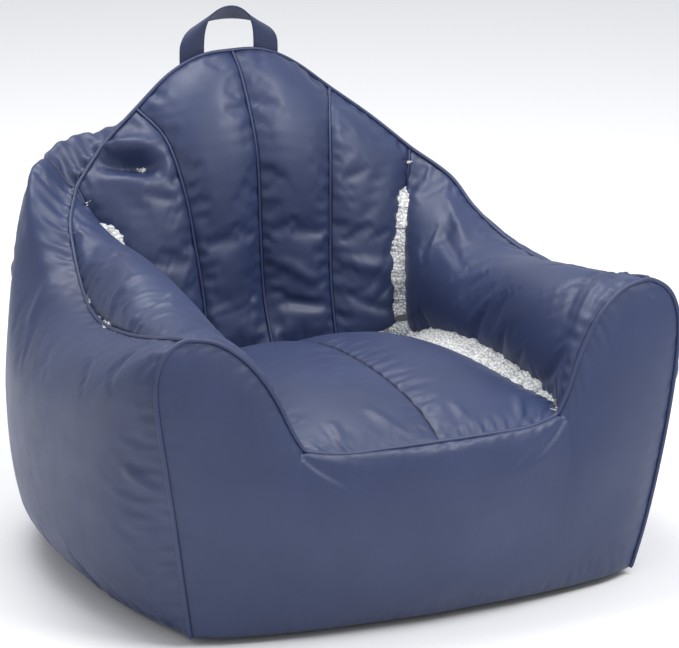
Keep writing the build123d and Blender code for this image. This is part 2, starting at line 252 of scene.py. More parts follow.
def tube(line: Array, radius: float, sides: int = 10) -> tuple[Array, Array, Array]:
    """A round cord along a line, closed at both ends.

    A ring of points stands square to the line at each of its points; the ring starts from the
    direction that is square to both the line and the chair's depth.

    Args:
        line: (n, 3) points of the cord's middle.
        radius: the cord's radius.
        sides: points round a ring.

    Returns:
        Its points, its faces and its flat coordinates.
    """
    along = np.gradient(line, axis=0)
    along /= np.linalg.norm(along, axis=1, keepdims=True)
    side = np.cross(along, [0.12, 1.0, 0.07])
    side /= np.linalg.norm(side, axis=1, keepdims=True)
    lift = np.cross(along, side)
    turn = np.linspace(0, 2 * np.pi, sides + 1)[:-1]
    ring = np.cos(turn)[None, :, None] * side[:, None] + np.sin(turn)[None, :, None] * lift[:, None]
    size = np.full(len(line), radius)
    size[[0, -1]] = radius * 0.6
    points = (line[:, None] + size[:, None, None] * ring).reshape(-1, 3)
    index = np.arange(len(line) * sides).reshape(len(line), sides)
    index = np.concatenate([index, index[:, :1]], axis=1)
    walls = np.stack([index[:-1, :-1], index[:-1, 1:], index[1:, 1:], index[1:, :-1]], axis=-1).reshape(-1, 4)
    caps = []
    for row, centre in ((index[0][::-1], len(points)), (index[-1], len(points) + 1)):
        caps.append(np.stack([row[:-1], row[1:], np.full(sides, centre), np.full(sides, centre)], axis=1))
    reach = np.r_[0.0, np.cumsum(np.linalg.norm(np.diff(line, axis=0), axis=1))]
    across = np.broadcast_to(turn * radius, (len(line), sides))
    uv = np.stack([across, np.broadcast_to(reach[:, None], across.shape)], axis=2).reshape(-1, 2)
    uv = np.concatenate([uv, [[0, reach[0]], [0, reach[-1]]]])
    return np.concatenate([points, line[[0, -1]]]), np.concatenate([walls] + caps), uv


def join_meshes(parts: list[tuple[Array, Array]]) -> tuple[Array, Array]:
    """Several lists of points and faces as one."""
    starts = np.cumsum([0] + [len(points) for points, _ in parts[:-1]])
    return (np.concatenate([points for points, _ in parts]),
            np.concatenate([faces + start for (_, faces), start in zip(parts, starts)]))


# ---------------------------------------------------------------- the cover's seams
ARCH = (0.338, -0.316, 0.430)            # highest point of an arm's front
FOOT = (0.328, -0.300, FLOOR_SEAM_Z)     # lower corner of the front panel
SEAT_CORNER, SEAT_FRONT, SEAT_REAR = (0.186, -0.350, 0.266), (0, -0.375, 0.263), (0, 0.182, 0.226)
BACK_CORNER, MID_CORNER = (0.200, 0.155, 0.212), (0.100, 0.180, 0.216)
REAR_FOOT, REAR_MIDDLE = (0.238, 0.290, FLOOR_SEAM_Z), (0, 0.345, FLOOR_SEAM_Z)

@dataclass(frozen=True)
class Lobe:
    """A place where the filling pushes a panel out, on one side only.

    The push falls off as a bell curve of the radius round the centre, and to nothing at seams.
    """

    panel: str
    centre: Point
    radius: float
    push: Point

    def swell(self, grid: Array) -> Array:
        """Moves a panel's points by the push."""
        v = np.linspace(0, 1, grid.shape[0])[:, None, None]
        u = np.linspace(0, 1, grid.shape[1])[None, :, None]
        loose = np.minimum(1.0, (16 * u * (1 - u) * v * (1 - v)) ** 0.5 * 1.4)
        away = np.linalg.norm(grid - np.array(self.centre), axis=2, keepdims=True) / self.radius
        return grid + np.exp(-away**2) * loose * np.array(self.push)


LOBES = (
    Lobe("left_arm_panel", (-0.270, 0.020, 0.400), 0.17, (0.004, 0.0, 0.052)),
    Lobe("right_arm_panel", (0.270, -0.150, 0.380), 0.13, (0.0, 0.0, 0.010)),
)


@dataclass(frozen=True)
class Shoulder:
    """The filling heaped behind the left of the rim, which pushes the side, the rear and their seam up.

    The push falls off as a bell curve of the radius round the centre, and to nothing at the rim.
    """

    centre: Point = (-0.300, 0.290, 0.460)
    radius: float = 0.135
    push: Point = (-0.030, 0.012, 0.098)
    rim_reach: float = 0.055

    def swell(self, grid: Array, rim: Array) -> Array:
        """Moves a panel's points by the push, given the points of the rim."""
        near = np.min([np.linalg.norm(grid - point, axis=2) for point in rim[::3]], axis=0)
        free = np.clip(near / self.rim_reach, 0, 1)[..., None]
        away = np.linalg.norm(grid - np.array(self.centre), axis=2, keepdims=True) / self.radius
        return grid + np.exp(-away**2) * free * free * (3 - 2 * free) * np.array(self.push)


@dataclass
class Seams:
    """Every seam of the right half of the cover, as a curve through its chosen points (metres)."""

    rim_crest: float = 0.636
    curves: dict[str, Array] = field(default_factory=dict)

    def __post_init__(self) -> None:
        """Works the curves out."""
        self.shape_rim()
        self.shape_front()
        self.shape_seat_and_back()
        self.shape_rear_and_floor()

    def shape_rim(self) -> None:
        """The rim from the crest to the arm's front, in three runs that meet at the back's seams."""
        c = self.curves
        top, first, second = (0, 0.327, self.rim_crest), (0.150, 0.322, 0.567), (0.260, 0.280, 0.475)
        rim = smooth_curve([(-0.045, 0.329, 0.633), top, (0.045, 0.329, 0.633), (0.092, 0.330, 0.612), first,
                            (0.208, 0.307, 0.522), second], 12 * CELLS_CHANNEL)
        rim = rim[np.abs(rim[:, 0]).argmin():]
        corner = np.abs(rim[:, 0] - first[0]).argmin()
        c["rim_inner"] = even_steps(np.concatenate([[top], rim[1:corner], [first]]), CELLS_CHANNEL)
        c["rim_outer"] = even_steps(np.concatenate([[first], rim[corner + 1:-1], [second]]), CELLS_CHANNEL)
        c["rim_arm"] = smooth_curve(
            [second, (0.295, 0.212, 0.443), (0.306, 0.165, 0.412), (0.322, 0.090, 0.382), (0.334, 0.020, 0.370),
             (0.339, -0.050, 0.372), (0.340, -0.130, 0.384), (0.341, -0.220, 0.405), (0.341, -0.280, 0.422), ARCH],
            CELLS_ARM)

    def shape_front(self) -> None:
        """The seam round the front panel: up the corner, over the arm and along the seat's front."""
        c = self.curves
        c["arch"] = smooth_curve(
            [SEAT_CORNER, (0.203, -0.347, 0.297), (0.219, -0.342, 0.335), (0.240, -0.336, 0.372),
             (0.266, -0.329, 0.402), (0.300, -0.322, 0.424), ARCH], CELLS_BACK)
        c["front_side"] = smooth_curve(
            [FOOT, (0.341, -0.312, 0.080), (0.356, -0.322, 0.170), (0.370, -0.326, 0.260),
             (0.380, -0.324, 0.335), (0.381, -0.321, 0.378), (0.367, -0.318, 0.413), ARCH], CELLS_HEIGHT)
        c["seat_front"] = smooth_curve([SEAT_FRONT, (0.070, -0.372, 0.262), (0.135, -0.364, 0.260), SEAT_CORNER],
                                       2 * CELLS_CHANNEL)
        c["front_foot"] = smooth_curve([(0, -0.352, FLOOR_SEAM_Z), (0.180, -0.340, FLOOR_SEAM_Z),
                                        (0.290, -0.318, FLOOR_SEAM_Z), FOOT], CELLS_BACK + 2 * CELLS_CHANNEL)

    def shape_seat_and_back(self) -> None:
        """The seat's seams and the fan of seams up the back."""
        c = self.curves
        first, second = c["rim_inner"][-1], c["rim_outer"][-1]
        c["seat_side"] = smooth_curve([SEAT_CORNER, (0.208, -0.300, 0.264), (0.218, -0.165, 0.252),
                                       (0.219, -0.050, 0.243), (0.214, 0.060, 0.232), BACK_CORNER], CELLS_ARM)
        c["seat_middle"] = smooth_curve([SEAT_FRONT, (0, -0.300, 0.288), (0, -0.160, 0.300), (0, 0.0, 0.288),
                                         (0, 0.110, 0.258), SEAT_REAR], CELLS_ARM)
        c["foot_inner"] = smooth_curve([SEAT_REAR, (0.050, 0.190, 0.214), MID_CORNER], CELLS_CHANNEL)
        c["foot_outer"] = smooth_curve([MID_CORNER, (0.152, 0.178, 0.206), BACK_CORNER], CELLS_CHANNEL)
        c["back_0"] = smooth_curve([SEAT_REAR, (0, 0.216, 0.300), (0, 0.228, 0.390), (0, 0.238, 0.505),
                                    (0, 0.266, 0.565), (0, 0.303, 0.618), c["rim_inner"][0]], CELLS_BACK)
        c["back_1"] = smooth_curve([MID_CORNER, (0.099, 0.200, 0.300), (0.104, 0.216, 0.376),
                                    (0.114, 0.238, 0.470), (0.128, 0.272, 0.536), first], CELLS_BACK)
        c["back_2"] = smooth_curve([BACK_CORNER, (0.213, 0.190, 0.289), (0.232, 0.232, 0.384), second], CELLS_BACK)

    def shape_rear_and_floor(self) -> None:
        """The rear's seams and the seam round the floor."""
        c = self.curves
        c["rear_middle"] = smooth_curve([REAR_MIDDLE, (0, 0.368, 0.040), (0, 0.379, 0.085), (0, 0.3805, 0.200),
                                         (0, 0.3805, 0.390), (0, 0.372, 0.480), (0, 0.352, 0.570),
                                         c["rim_inner"][0]], CELLS_HEIGHT)
        c["rear_side"] = smooth_curve([REAR_FOOT, (0.262, 0.315, 0.080), (0.278, 0.330, 0.220),
                                       (0.280, 0.322, 0.360), c["rim_outer"][-1]], CELLS_HEIGHT)
        c["rear_foot"] = smooth_curve([REAR_MIDDLE, (0.130, 0.333, FLOOR_SEAM_Z), REAR_FOOT], 2 * CELLS_CHANNEL)
        c["side_foot"] = smooth_curve([REAR_FOOT, (0.325, 0.205, FLOOR_SEAM_Z), (0.366, 0.050, FLOOR_SEAM_Z),
                                       (0.364, -0.150, FLOOR_SEAM_Z), FOOT], CELLS_ARM)

    def across(self, *names: str) -> Array:
        """A seam that crosses the middle: the named right-hand curves, joined and mirrored."""
        right = np.concatenate([self.curves[names[0]]] + [self.curves[name][1:] for name in names[1:]])
        return np.concatenate([(right * MIRROR)[::-1], right[1:]])

    def grids(self) -> dict[str, Array]:
        """All panels as swollen patches, with their cells wound to face outwards.

        Returns:
            A grid of points by panel name.
        """
        c = self.curves
        seat_back = np.concatenate([c["foot_inner"], c["foot_outer"][1:]])
        rim_back = np.concatenate([c["rim_inner"], c["rim_outer"][1:]])
        rights = {
            Panel.SEAT: puff(coons(c["seat_front"], seat_back, c["seat_middle"], c["seat_side"]), 0.022),
            Panel.CHANNEL_INNER: puff(coons(c["foot_inner"], c["rim_inner"], c["back_0"], c["back_1"]), 0.020),
            Panel.CHANNEL_OUTER: puff(coons(c["foot_outer"], c["rim_outer"], c["back_1"], c["back_2"]), 0.022),
            Panel.ARM: puff(coons(c["seat_side"][::-1], c["rim_arm"], c["back_2"], c["arch"]), 0.045),
            Panel.SIDE: puff(coons(c["side_foot"][::-1], c["rim_arm"][::-1], c["front_side"], c["rear_side"]), 0.040),
            Panel.REAR: puff(coons(c["rear_foot"][::-1], rim_back[::-1], c["rear_side"], c["rear_middle"]), 0.022),
        }
        front = coons(self.across("front_foot"), self.across("seat_front", "arch"),
                      c["front_side"] * MIRROR, c["front_side"])
        grids = {Panel.FRONT.value: puff(front, 0.016)}
        for panel, grid in rights.items():
            grids[panel.on("right")] = grid
            grids[panel.on("left")] = (grid * MIRROR)[:, ::-1]
        for lobe in LOBES:
            grids[lobe.panel] = lobe.swell(grids[lobe.panel])
        rim = MIRROR * np.concatenate([c["rim_inner"], c["rim_outer"], c["rim_arm"]])
        for panel in (Panel.SIDE, Panel.REAR):
            grids[panel.on("left")] = Shoulder().swell(grids[panel.on("left")], rim)
        grids[Panel.BASE.value] = self.base()
        return grids

    def base(self) -> Array:
        """The base: rings that shrink from the floor seam to the middle, as one closed fan."""
        c = self.curves
        right = np.concatenate([c["front_foot"], c["side_foot"][::-1][1:], c["rear_foot"][::-1][1:]])
        ring = np.concatenate([right, (right * MIRROR)[::-1][1:]])[::-1]
        scale = np.linspace(1.0, 0.0, CELLS_BASE + 1)[:, None, None]
        rings = ring[None] * np.concatenate([scale, scale, np.ones_like(scale)], axis=2)
        rings[1:, :, 2] = 0.0005
        return rings


# ---------------------------------------------------------------- the blown-up cover
@dataclass
class Cover:
    """The whole cover as one welded skin, blown up as cloth and cut back into panels."""

    seams: Seams
    frames: int = 22
    pressure: float = 4.0
    spare_cloth: float = 0.03
    cap: float = 0.022
    points: Array = field(default_factory=lambda: np.zeros((0, 3)))
    faces: Array = field(default_factory=lambda: np.zeros((0, 4), int))
    panels: dict[str, Array] = field(default_factory=dict)

    def weld(self) -> None:
        """Joins the patches into one closed skin with shared seam points."""
        grids = self.seams.grids()
        every = np.concatenate([grid.reshape(-1, 3) for grid in grids.values()])
        keys = np.round(every / 2e-5).astype(np.int64)
        _, first, index = np.unique(keys, axis=0, return_index=True, return_inverse=True)
        self.points, index = every[first], index.reshape(-1)
        start = 0
        faces = []
        for name, grid in grids.items():
            rows, columns = grid.shape[:2]
            self.panels[name] = index[start:start + rows * columns].reshape(rows, columns)
            faces.append(self.panels[name].reshape(-1)[grid_faces(rows, columns)])
            start += rows * columns
        self.faces = np.concatenate(faces)

    def seam_points(self) -> Array:
        """Which points lie on a seam, which is the edges of every panel, or on the base."""
        held = np.zeros(len(self.points), bool)
        for name, index in self.panels.items():
            held[index[0]] = True
            if name == Panel.BASE.value:
                held[index] = True
            else:
                held[index[[0, -1]]] = True
                held[index[:, [0, -1]]] = True
        return held

    def tightness(self) -> Array:
        """How tightly each point's panel is cut, from 0 (all the spare cloth) to 1 (none)."""
        cut = {"channel": 0.45, "front": 0.95, "seat": 0.6, "arm": 0.6, "side": 0.5, "rear": 0.5, "bottom": 1.0}
        tight = np.full(len(self.points), 0.5)
        for name, index in self.panels.items():
            for word, share in cut.items():
                if word in name:
                    tight[index] = share
        return tight

    def inflate(self) -> None:
        """Blows the skin up as cloth: seams held by stiff springs, a little spare cloth between them."""
        skin = new_object("cover_cloth_run", self.points, self.faces)
        held = skin.vertex_groups.new(name="held")
        held.add(np.flatnonzero(self.seam_points()).tolist(), 1.0, "REPLACE")
        tight = skin.vertex_groups.new(name="tight")
        levels = self.tightness()
        for level in np.unique(levels):
            tight.add(np.flatnonzero(levels == level).tolist(), float(level), "REPLACE")
        modifier = skin.modifiers.new("cloth", "CLOTH")
        cloth = modifier.settings
        cloth.quality = 5
        cloth.mass = 0.3
        cloth.tension_stiffness = cloth.compression_stiffness = 12.0
        cloth.shear_stiffness = 6.0
        cloth.bending_stiffness = 0.6
        cloth.use_pressure = True
        cloth.uniform_pressure_force = self.pressure
        cloth.shrink_min, cloth.shrink_max = -self.spare_cloth, 0.0
        cloth.vertex_group_shrink = "tight"
        cloth.vertex_group_mass = "held"
        cloth.pin_stiffness = 1.0
        cloth.effector_weights.gravity = 0.0
        modifier.collision_settings.use_collision = False
        scene = bpy.context.scene
        modifier.point_cache.frame_start, modifier.point_cache.frame_end = 1, self.frames
        for step in range(1, self.frames + 1):
            scene.frame_set(step)
        skin_now = skin.evaluated_get(bpy.context.evaluated_depsgraph_get())
        places = np.empty(len(self.points) * 3)
        skin_now.data.vertices.foreach_get("co", places)
        moved = places.reshape(-1, 3) - self.points
        length = np.maximum(np.linalg.norm(moved, axis=1, keepdims=True), 1e-9)
        self.points = self.points + moved * np.minimum(1.0, self.cap / length)
        scene.frame_set(1)
        bpy.data.objects.remove(skin)

    def settle(self) -> None:
        """Rests the skin on the floor.
        """
        self.points[:, 2] = np.maximum(self.points[:, 2], 0.0005)

    def seam_line(self, runs: list[tuple[str, str]], proud: float, spacing: float = 0.003) -> Array:
        """A smooth line along the edges of panels, standing a little off the cloth.

        Args:
            runs: panel name and edge (low, high, left or right, with "back" to run it backwards).
            proud: how far the line stands out, along the average of the cloth's normals.
            spacing: the distance between its points.

        Returns:
            The line's points.
        """
        edges = {"low": np.s_[0], "high": np.s_[-1], "left": np.s_[:, 0], "right": np.s_[:, -1]}
        order: list[Array] = []
        for panel, edge in runs:
            words = edge.split()
            index = self.panels[panel][edges[words[0]]]
            index = index[::-1] if "back" in words else index
            order.append(index if not order else index[1:])
        index = np.concatenate(order)
        line = self.points[index] + proud * vertex_normals(self.points, self.faces)[index]
        for _ in range(2):
            line[1:-1] = (line[:-2] + 2 * line[1:-1] + line[2:]) / 4
        fine = doubled(doubled(line[:, None], 0), 0)[:, 0]
        reach = np.linalg.norm(np.diff(fine, axis=0), axis=1).sum()
        return even_steps(fine, int(reach / spacing))


# ---------------------------------------------------------------- folds in the cloth
@dataclass(frozen=True)
class Fold:
    """A ridge (or with a negative height a crease) in a panel, between two places on it.

    Places are shares of the panel's width and height. Across the fold the height follows a bell
    curve with a shallow valley beside it, and along it the height rises and falls as a sine.
    """

    panel: str
    start: tuple[float, float]
    end: tuple[float, float]
    width: float
    height: float

    def lift(self, flat: Array) -> Array:
        """How far each point of the panel's flat coordinates is lifted."""
        size = np.array([np.ptp(flat[len(flat) // 2, :, 0]), np.ptp(flat[:, flat.shape[1] // 2, 1])])
        low = np.array([flat[len(flat) // 2, 0, 0], flat[0, flat.shape[1] // 2, 1]])
        start, end = low + size * self.start, low + size * self.end
        run = end - start
        share = np.clip(((flat - start) @ run) / (run @ run), -0.05, 1.05)
        away = np.linalg.norm(flat - start - share[..., None] * run, axis=2) / self.width
        along = np.sin(np.pi * np.clip(share, 0, 1)) ** 0.7
        return self.height * along * np.exp(-away**2) * (1 - 0.7 * away**2)


FOLDS = (
    # left arm, where the rim dips in front of the back
    Fold("left_arm_panel", (0.45, 0.99), (0.50, 0.62), 0.011, 0.0050),
    Fold("left_arm_panel", (0.38, 0.99), (0.40, 0.60), 0.009, 0.0040),
    Fold("left_arm_panel", (0.31, 0.98), (0.33, 0.64), 0.008, 0.0036),
    Fold("left_arm_panel", (0.25, 0.97), (0.26, 0.70), 0.008, 0.0030),
    Fold("left_arm_panel", (0.60, 0.98), (0.64, 0.80), 0.010, 0.0034),
    # right arm, beside its front seam and towards the back
    Fold("right_arm_panel", (0.95, 0.97), (0.955, 0.40), 0.010, 0.0046),
    Fold("right_arm_panel", (0.88, 0.92), (0.90, 0.45), 0.011, -0.0040),
    Fold("right_arm_panel", (0.12, 0.88), (0.30, 0.70), 0.014, 0.0050),
    Fold("right_arm_panel", (0.16, 0.70), (0.36, 0.55), 0.013, -0.0040),
    # left side: from its front seam, and below the shoulder
    Fold("left_side_panel", (0.985, 0.46), (0.90, 0.55), 0.011, 0.0046),
    Fold("left_side_panel", (0.985, 0.38), (0.88, 0.42), 0.010, -0.0036),
    Fold("left_side_panel", (0.985, 0.22), (0.89, 0.16), 0.012, 0.0044),
    Fold("left_side_panel", (0.04, 0.97), (0.16, 0.78), 0.014, -0.0070),
    Fold("left_side_panel", (0.12, 0.90), (0.10, 0.66), 0.013, 0.0050),
    Fold("left_side_panel", (0.30, 0.96), (0.34, 0.78), 0.014, 0.0040),
    Fold("right_side_panel", (0.03, 0.60), (0.14, 0.68), 0.012, 0.0040),
    Fold("right_side_panel", (0.95, 0.95), (0.84, 0.76), 0.014, -0.0050),
    Fold("left_rear_panel", (0.80, 0.97), (0.86, 0.80), 0.012, -0.0060),
    Fold("left_rear_panel", (0.66, 0.97), (0.70, 0.84), 0.011, -0.0045),
    Fold("right_rear_panel", (0.20, 0.96), (0.16, 0.78), 0.012, -0.0050),
    # seat, from its front seam
    Fold("left_seat_panel", (0.35, 0.02), (0.42, 0.13), 0.009, 0.0030),
    Fold("left_seat_panel", (0.72, 0.02), (0.66, 0.14), 0.010, 0.0034),
    Fold("right_seat_panel", (0.30, 0.02), (0.24, 0.12), 0.009, 0.0030),
    Fold("right_seat_panel", (0.62, 0.02), (0.70, 0.15), 0.010, 0.0034),
    # back channels: cloth that sags across them
    Fold("back_channel_inner_right", (0.08, 0.30), (0.92, 0.24), 0.012, 0.0040),
    Fold("back_channel_inner_right", (0.10, 0.14), (0.90, 0.18), 0.010, -0.0034),
    Fold("back_channel_outer_right", (0.10, 0.30), (0.85, 0.38), 0.013, 0.0046),
    Fold("back_channel_outer_right", (0.15, 0.17), (0.90, 0.22), 0.011, -0.0036),
    Fold("back_channel_inner_left", (0.10, 0.20), (0.90, 0.15), 0.012, 0.0034),
    Fold("back_channel_outer_left", (0.20, 0.30), (0.90, 0.22), 0.012, 0.0040),
    # the tuck inside the left of the rim, with its lip
    Fold("back_channel_outer_left", (0.30, 0.95), (0.90, 0.76), 0.017, -0.0260),
    Fold("back_channel_outer_left", (0.34, 1.02), (0.96, 0.86), 0.016, 0.0120),
)


@dataclass(frozen=True)
class Gathers:
    """The small puckers that a seam's stitching pulls into the cloth beside it."""

    height: float = 0.0011
    pitch: float = 0.026
    reach: float = 0.020
    seed: int = 11

    def lift(self, place: Array, away: Array, salt: int) -> Array:
        """Waves along a seam that die away from it.

        Three sine waves along the seam, of unlike lengths and seeded starts, times an exponential
        of the distance to the seam.

        Args:
            place: how far along the seam each point is.
            away: how far from the seam each point is.
            salt: a number that makes each seam's waves its own.

        Returns:
            How far each point is lifted.
        """
        start = np.random.default_rng(self.seed + salt).uniform(0, 2 * np.pi, 3)
        wave = sum(np.sin(2 * np.pi * place / (self.pitch * k) + s) for k, s in zip((0.73, 1.0, 1.62), start))
        near = np.exp(-away / self.reach) * np.minimum(away / 0.004, 1.0)
        return self.height * wave * near


# ---------------------------------------------------------------- finishes
class Shader:
    """A material's node tree around one Principled surface, with short calls to add and join nodes."""

    def __init__(self, name: str) -> None:
        """Starts an empty material of that name."""
        self.material = bpy.data.materials.new(name)
        self.material.use_nodes = True
        self.tree = self.material.node_tree
        self.surface = self.tree.nodes["Principled BSDF"]
        self.places = self.tree.nodes.new("ShaderNodeTexCoord")

    def feed(self, socket: bpy.types.NodeSocket, value: object) -> None:
        """Joins a socket to another one, or sets its value."""
        if isinstance(value, bpy.types.NodeSocket):
            self.tree.links.new(value, socket)
        else:
            socket.default_value = value

    def add(self, kind: str, inputs: dict[str | int, object], output: int = 0,
            **settings: object) -> bpy.types.NodeSocket:
        """Adds a node.

        Args:
            kind: the node's type, without its ShaderNode prefix.
            inputs: what its sockets are set to or joined with.
            output: which of its outputs to give back.
            **settings: the node's own options.

        Returns:
            The output socket.
        """
        node = self.tree.nodes.new("ShaderNode" + kind)
        for key, value in settings.items():
            setattr(node, key, value)
        for key, value in inputs.items():
            self.feed(node.inputs[key], value)
        return node.outputs[output]

    def noise(self, scale: float, detail: float = 3.0, roughness: float = 0.5,
              flat: bool = False) -> bpy.types.NodeSocket:
        """A noise value over the piece, or over its flat cloth."""
        where = self.places.outputs["UV" if flat else "Object"]
        return self.add("TexNoise", {"Vector": where, "Scale": scale, "Detail": detail, "Roughness": roughness})

    def ribs(self, pitch: float, direction: str, distortion: float = 0.0) -> bpy.types.NodeSocket:
        """Even ribs across the flat cloth, a pitch in metres apart (a band wave turns 20 times in a unit)."""
        scale = 2 * np.pi / (20 * pitch)
        return self.add("TexWave", {"Vector": self.places.outputs["UV"], "Scale": scale, "Distortion": distortion},
                        output=1, wave_type="BANDS", bands_direction=direction)

    def maths(self, operation: str, a: object, b: object) -> bpy.types.NodeSocket:
        """One sum on two values."""
        return self.add("Math", {0: a, 1: b}, operation=operation)

    def blend(self, share: object, low: Colour, high: object) -> bpy.types.NodeSocket:
        """A colour between two, by a share."""
        first = low if isinstance(low, bpy.types.NodeSocket) else (*low, 1.0)
        second = high if isinstance(high, bpy.types.NodeSocket) else (*high, 1.0)
        return self.add("Mix", {0: share, 6: first, 7: second}, output=2, data_type="RGBA")

    def ramp(self, value: object, low: float, high: float, to_low: float, to_high: float) -> bpy.types.NodeSocket:
        """A value carried from one range to another and held there."""
        return self.add("MapRange", {0: value, 1: low, 2: high, 3: to_low, 4: to_high})

    def bumps(self, layers: list[tuple[object, float, float]]) -> None:
        """Bump layers, from the finest up: a height, its strength and its depth in metres each."""
        normal: object = None
        for height, strength, depth in layers:
            inputs = {"Height": height, "Strength": strength, "Distance": depth}
            if normal is not None:
                inputs["Normal"] = normal
            normal = self.add("Bump", inputs)
        self.feed(self.surface.inputs["Normal"], normal)

    def set(self, **values: object) -> None:
        """Sets the surface's sockets; a name's underscores stand for spaces."""
        for name, value in values.items():
            self.feed(self.surface.inputs[name.replace("_", " ")], value)


@dataclass(frozen=True)
class CoatedCloth:
    """Navy polyester with a satin coating: fine weave, a mottled grain, soft crumpling, and painted shade deepening
    the colour beside its seams.
    """

    name: str
    deep: Colour = (0.0150, 0.0250, 0.0760)
    light: Colour = (0.0260, 0.0410, 0.1080)
    pitch: float = 0.0009
    crumple: float = 0.17

    def material(self) -> bpy.types.Material:
        """The finished material."""
        s = Shader(self.name)
        weave = s.maths("MULTIPLY", s.ribs(self.pitch, "X"), s.ribs(self.pitch, "Y"))
        grain = s.noise(520, 4, 0.62)
        patches = s.noise(7, 4, 0.55)
        creases = s.noise(30, 5, 0.55)
        tone = s.maths("ADD", s.maths("MULTIPLY", patches, 0.65), s.maths("MULTIPLY", grain, 0.35))
        cloth = s.blend(s.ramp(tone, 0.30, 0.70, 0.0, 1.0), self.deep, self.light)
        # painted shade: near every seam the colour deepens towards 0.42 of the deep navy, where the stitched-in
        # creases fall into shade
        seam = s.add("Attribute", {}, output=2, attribute_name="seam")
        painted_seam_shade = tuple(0.42 * channel for channel in self.deep)
        s.set(Base_Color=s.blend(s.ramp(seam, 0.25, 1.0, 0.0, 0.75), cloth, painted_seam_shade),
              Roughness=s.ramp(s.maths("ADD", grain, creases), 0.6, 1.4, 0.40, 0.56),
              Specular_IOR_Level=0.5, Sheen_Weight=0.10, Sheen_Roughness=0.35,
              Sheen_Tint=(0.62, 0.66, 0.95, 1.0), Coat_Weight=0.04, Coat_Roughness=0.35)
        s.bumps([(weave, 0.22, 0.00012), (grain, 0.28, 0.00028), (creases, self.crumple, 0.0022)])
        return s.material


@dataclass(frozen=True)
class Webbing:
    """Woven polyester webbing: ribs across it, warp lines along it, a few fuzzy threads."""

    name: str
    deep: Colour = (0.0130, 0.0190, 0.0560)
    light: Colour = (0.0330, 0.0470, 0.1200)
    rib: float = 0.0021
    warp: float = 0.0011

    def material(self) -> bpy.types.Material:
        """The finished material."""
        s = Shader(self.name)
        across = s.ribs(self.rib, "Y", 0.4)
        weave = s.maths("MULTIPLY", across, s.ribs(self.warp, "X"))
        fuzz = s.noise(900, 3, 0.6)
        tone = s.maths("ADD", s.maths("MULTIPLY", weave, 0.6), s.maths("MULTIPLY", fuzz, 0.4))
        s.set(Base_Color=s.blend(s.ramp(tone, 0.1, 0.8, 0.0, 1.0), self.deep, self.light),
              Roughness=s.ramp(fuzz, 0.3, 0.7, 0.55, 0.75), Sheen_Weight=0.25, Sheen_Roughness=0.5,
              Sheen_Tint=(0.6, 0.65, 0.9, 1.0))
        s.bumps([(fuzz, 0.3, 0.0002), (weave, 0.7, 0.0005)])
        return s.material


@dataclass(frozen=True)
class Beads:
    """Loose foam beads, packed: rounded cells a few millimetres wide, each a slightly different white, with painted
    shade greying the gaps between them.
    """

    name: str
    bead: float = 0.0042

    def material(self) -> bpy.types.Material:
        """The finished material."""
        s = Shader(self.name)
        where = s.places.outputs["Object"]
        depth = s.add("TexVoronoi", {"Vector": where, "Scale": 1 / self.bead, "Randomness": 0.8})
        shade = s.add("TexVoronoi", {"Vector": where, "Scale": 1 / self.bead, "Randomness": 0.8}, output=1)
        white = s.blend(s.add("SeparateColor", {0: shade}), (0.74, 0.74, 0.72), (0.86, 0.86, 0.85))
        # painted shade: each bead's colour greys towards its rim, where the gaps between packed beads fall into shade
        s.set(Base_Color=s.blend(s.ramp(depth, 0.25, 0.75, 0.0, 1.0), white, (0.42, 0.42, 0.43)),
              Roughness=s.ramp(s.noise(700), 0.3, 0.7, 0.6, 0.8), Subsurface_Weight=0.08)
        s.bumps([(s.maths("SUBTRACT", 1.0, depth), 0.9, self.bead / 2)])
        return s.material


@dataclass(frozen=True)
class LiningCloth:
    """Grey non-woven lining: pressed fibres with a grid of small dimples."""

    name: str
    dimple: float = 0.0024

    def material(self) -> bpy.types.Material:
        """The finished material."""
        s = Shader(self.name)
        where = s.places.outputs["Object"]
        dimples = s.add("TexVoronoi", {"Vector": where, "Scale": 1 / self.dimple, "Randomness": 0.15})
        fibres = s.noise(600, 5, 0.7)
        s.set(Base_Color=s.blend(s.ramp(s.maths("ADD", fibres, dimples), 0.5, 1.4, 0.0, 1.0),
                                 (0.10, 0.105, 0.12), (0.21, 0.215, 0.23)),
              Roughness=s.ramp(fibres, 0.3, 0.7, 0.75, 0.92), Sheen_Weight=0.15)
        s.bumps([(fibres, 0.3, 0.0002), (dimples, 0.6, 0.0005)])
        return s.material


@dataclass(frozen=True)
class Nylon:
    """Moulded or twisted nylon: zip teeth and sewing thread, with fine twist lines."""

    name: str
    deep: Colour = (0.008, 0.011, 0.028)
    light: Colour = (0.022, 0.030, 0.075)
    roughness: float = 0.34

    def material(self) -> bpy.types.Material:
        """The finished material."""
        s = Shader(self.name)
        fine = s.noise(1600, 3, 0.6)
        broad = s.noise(90, 3, 0.5)
        s.set(Base_Color=s.blend(s.ramp(broad, 0.3, 0.7, 0.0, 1.0), self.deep, self.light),
              Roughness=s.ramp(fine, 0.3, 0.7, self.roughness, self.roughness + 0.16), Coat_Weight=0.1)
        s.bumps([(fine, 0.3, 0.00012)])
        return s.material


@dataclass(frozen=True)
class DarkMetal:
    """Gunmetal plating on a die casting: tiny pits, brushed scratches, brighter where it is rubbed."""

    name: str

    def material(self) -> bpy.types.Material:
        """The finished material."""
        s = Shader(self.name)
        pits = s.noise(1400, 4, 0.65)
        rubs = s.noise(160, 4, 0.6)
        s.set(Base_Color=s.blend(s.ramp(rubs, 0.42, 0.68, 0.0, 1.0), (0.11, 0.115, 0.13), (0.36, 0.36, 0.38)),
              Metallic=1.0, Roughness=s.ramp(s.maths("ADD", pits, rubs), 0.6, 1.4, 0.24, 0.46))
        s.bumps([(pits, 0.35, 0.00015)])
        return s.material


